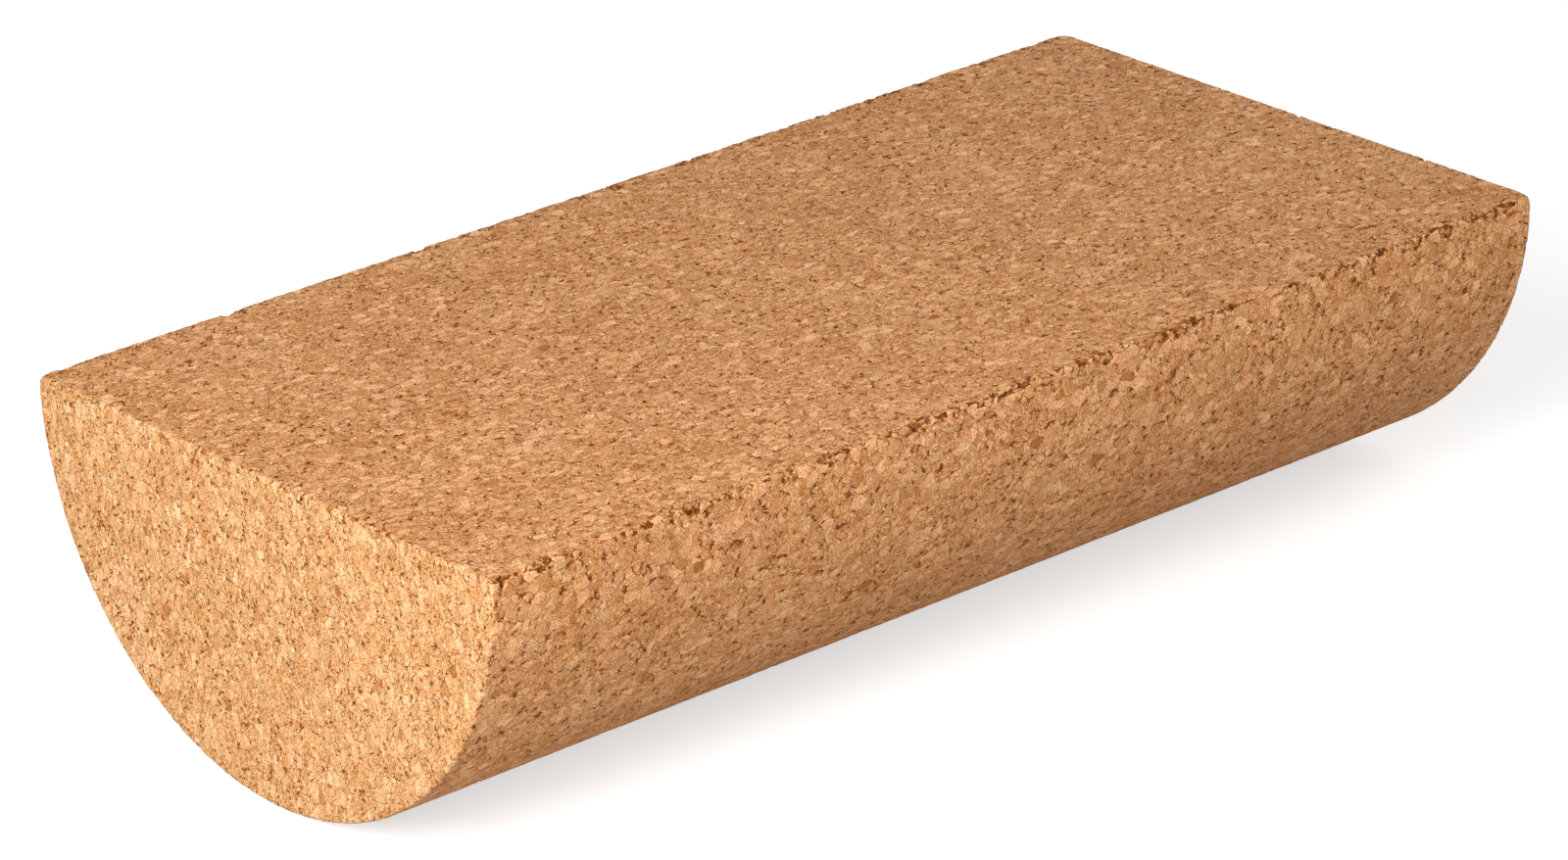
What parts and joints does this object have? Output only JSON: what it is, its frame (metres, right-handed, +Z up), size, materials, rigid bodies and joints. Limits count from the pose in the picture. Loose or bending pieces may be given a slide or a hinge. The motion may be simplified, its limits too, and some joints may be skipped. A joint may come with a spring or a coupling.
{
  "type": "balance board",
  "caption": "Half-round cork balance board: one solid block with a flat standing face that rocks on its round barrel.",
  "frame": {"origin": "middle of the rolling line, where the barrel touches the floor with the standing face level", "axes": "+X along the length and the rolling line, +Y across the block in the rocking direction, +Z up out of the standing face"},
  "size_m": [0.3, 0.15, 0.075],
  "materials": {
    "cork": "raw agglomerated cork, sanded, matt"
  },
  "bodies": {
    "root": {"cork_block": "cork"}
  },
  "joints": []
}
